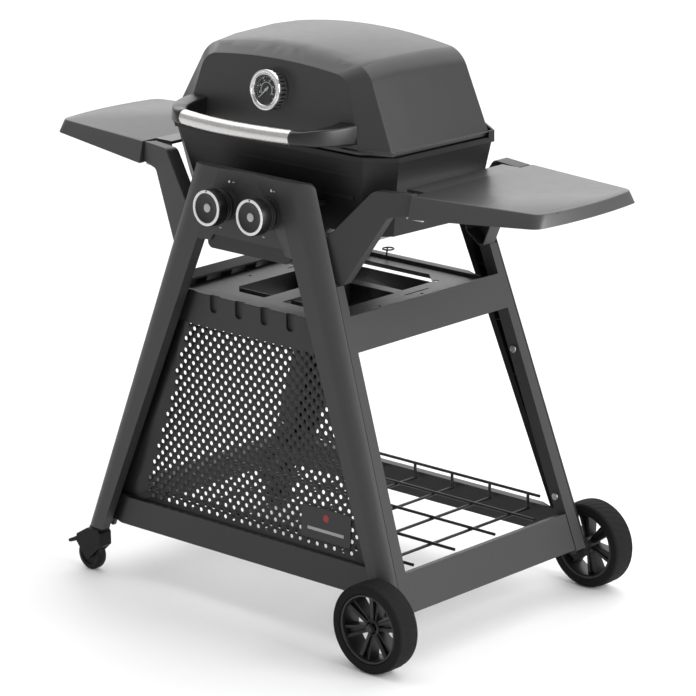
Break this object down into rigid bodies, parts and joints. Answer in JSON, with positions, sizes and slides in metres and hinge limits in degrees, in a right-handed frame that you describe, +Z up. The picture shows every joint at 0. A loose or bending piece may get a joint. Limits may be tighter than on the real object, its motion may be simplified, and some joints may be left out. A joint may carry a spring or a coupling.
{
  "type": "gas barbecue grill",
  "caption": "Gas barbecue grill with a domed lid, folding side shelves and a splayed cart on wheels and casters.",
  "frame": {"origin": "centre of the bounding box at floor level", "axes": "+X to the right across the shelves, +Y to the back, +Z up"},
  "size_m": [1.221, 0.664, 1.0919],
  "materials": {
    "frame_plastic": "textured dark grey moulded plastic",
    "side_plastic": "dark grey moulded plastic",
    "rail_plastic": "black moulded plastic",
    "panel_steel": "dark grey powder coat",
    "badge": "plain gloss black",
    "tray_steel": "black powder coat",
    "wire": "black coated wire",
    "arm_steel": "dark grey powder coat",
    "shelf_plastic": "light grey satin plastic",
    "steel": "brushed steel",
    "tyre": "black solid tyre",
    "wheel_plastic": "black moulded plastic",
    "caster_plastic": "black moulded plastic",
    "control_steel": "black enamel",
    "knob": "black with bright front ring",
    "brass": "brass",
    "cast_grate": "enamelled cast iron",
    "firebox_cast": "dark painted casting",
    "lid_cast": "grey painted casting",
    "handle_steel": "brushed stainless steel",
    "bracket_plastic": "smooth black plastic",
    "chrome": "chrome plated",
    "dial": "black with white marks",
    "needle": "white",
    "lens": "clear glass",
    "tray_aluminium": "plain aluminium"
  },
  "bodies": {
    "cart": {"badge_plate": "badge", "burners": "steel", "control_box": "control_steel", "cooking_grates": "cast_grate", "equipment_tray": "tray_steel", "firebox": "firebox_cast", "flame_tamers": "steel", "frame_bolts": "steel", "front_bottom_rail": "rail_plastic", "front_caster_stem": "steel", "front_frame": "frame_plastic", "front_left_arm": "arm_steel", "front_right_arm": "arm_steel", "gas_manifold": "brass", "hose_ring": "wire", "igniters": "steel", "left_lower_beam": "side_plastic", "left_side_frame": "side_plastic", "left_valve": "brass", "lid_hinge_pins": "steel", "perforated_panel": "panel_steel", "rear_bottom_rail": "rail_plastic", "rear_caster_stem": "steel", "rear_cross_rail": "rail_plastic", "rear_frame": "frame_plastic", "rear_left_arm": "arm_steel", "rear_right_arm": "arm_steel", "right_lower_beam": "side_plastic", "right_side_frame": "side_plastic", "right_valve": "brass", "shelf_hinge_pins": "steel", "tool_rail": "rail_plastic", "warming_rack": "wire", "wheel_axles": "steel", "wire_shelf": "wire"},
    "lid": {"lid": "lid_cast", "handle_tube": "handle_steel", "left_handle_bracket": "bracket_plastic", "right_handle_bracket": "bracket_plastic", "thermometer_bezel": "chrome", "thermometer_dial": "dial", "thermometer_lens": "lens"},
    "thermometer_needle": {"thermometer_needle": "needle"},
    "left_valve_stem": {"left_valve_stem": "steel"},
    "right_valve_stem": {"right_valve_stem": "steel"},
    "left_knob": {"left_knob": "knob"},
    "right_knob": {"right_knob": "knob"},
    "right_shelf": {"right_shelf": "shelf_plastic"},
    "left_shelf": {"left_shelf": "shelf_plastic"},
    "front_wheel": {"front_wheel_tyre": "tyre", "front_wheel_rim": "wheel_plastic"},
    "rear_wheel": {"rear_wheel_tyre": "tyre", "rear_wheel_rim": "wheel_plastic"},
    "front_caster": {"front_caster_fork": "caster_plastic"},
    "rear_caster": {"rear_caster_fork": "caster_plastic"},
    "front_caster_wheel": {"front_caster_wheel": "caster_plastic"},
    "rear_caster_wheel": {"rear_caster_wheel": "caster_plastic"},
    "front_caster_brake": {"front_caster_brake": "caster_plastic"},
    "rear_caster_brake": {"rear_caster_brake": "caster_plastic"},
    "drip_tray": {"drip_tray": "tray_aluminium"}
  },
  "joints": [
    {"name": "lid_hinge", "type": "hinge", "parent": "cart", "child": "lid", "pos_m": [0, 0.167, 0.931], "axis": [-1, 0, 0], "range_deg": [0, 85]},
    {"name": "thermometer_needle_turn", "type": "hinge", "parent": "lid", "child": "thermometer_needle", "pos_m": [0, -0.1849, 1.00794], "axis": [0, 0.995, -0.0995], "range_deg": [0, 260]},
    {"name": "left_knob_push", "type": "slide", "parent": "cart", "child": "left_valve_stem", "axis": [0, 0.9979, -0.0642], "range_m": [0, 0.003], "stiffness_N_per_m": 1200, "springref_m": -0.0005},
    {"name": "left_knob_turn", "type": "hinge", "parent": "left_valve_stem", "child": "left_knob", "pos_m": [-0.0555, -0.28043, 0.79282], "axis": [0, -0.9979, 0.0642], "range_deg": [0, 230]},
    {"name": "right_knob_push", "type": "slide", "parent": "cart", "child": "right_valve_stem", "axis": [0, 0.9979, -0.0642], "range_m": [0, 0.003], "stiffness_N_per_m": 1200, "springref_m": -0.0005},
    {"name": "right_knob_turn", "type": "hinge", "parent": "right_valve_stem", "child": "right_knob", "pos_m": [0.0555, -0.28043, 0.79282], "axis": [0, -0.9979, 0.0642], "range_deg": [0, 230]},
    {"name": "right_shelf_fold", "type": "hinge", "parent": "cart", "child": "right_shelf", "pos_m": [0.3455, 0, 0.8165], "axis": [0, 1, 0], "range_deg": [0, 90]},
    {"name": "left_shelf_fold", "type": "hinge", "parent": "cart", "child": "left_shelf", "pos_m": [-0.3455, 0, 0.8165], "axis": [0, -1, 0], "range_deg": [0, 90]},
    {"name": "front_wheel_spin", "type": "hinge", "parent": "cart", "child": "front_wheel", "pos_m": [0.385, -0.312, 0.085], "axis": [0, 1, 0], "continuous": true},
    {"name": "rear_wheel_spin", "type": "hinge", "parent": "cart", "child": "rear_wheel", "pos_m": [0.385, 0.312, 0.085], "axis": [0, 1, 0], "continuous": true},
    {"name": "front_caster_swivel", "type": "hinge", "parent": "cart", "child": "front_caster", "pos_m": [-0.388, -0.267, 0.07], "axis": [0, 0, 1], "continuous": true},
    {"name": "front_caster_wheel_spin", "type": "hinge", "parent": "front_caster", "child": "front_caster_wheel", "pos_m": [-0.41, -0.267, 0.031], "axis": [0, 1, 0], "continuous": true},
    {"name": "front_caster_brake_press", "type": "hinge", "parent": "front_caster", "child": "front_caster_brake", "pos_m": [-0.434, -0.267, 0.061], "axis": [0, -1, 0], "range_deg": [0, 18]},
    {"name": "rear_caster_swivel", "type": "hinge", "parent": "cart", "child": "rear_caster", "pos_m": [-0.388, 0.267, 0.07], "axis": [0, 0, 1], "continuous": true},
    {"name": "rear_caster_wheel_spin", "type": "hinge", "parent": "rear_caster", "child": "rear_caster_wheel", "pos_m": [-0.41, 0.267, 0.031], "axis": [0, 1, 0], "continuous": true},
    {"name": "rear_caster_brake_press", "type": "hinge", "parent": "rear_caster", "child": "rear_caster_brake", "pos_m": [-0.434, 0.267, 0.061], "axis": [0, -1, 0], "range_deg": [0, 18]},
    {"name": "drip_tray_slide", "type": "slide", "parent": "cart", "child": "drip_tray", "axis": [0, 1, 0], "range_m": [0, 0.2]}
  ]
}
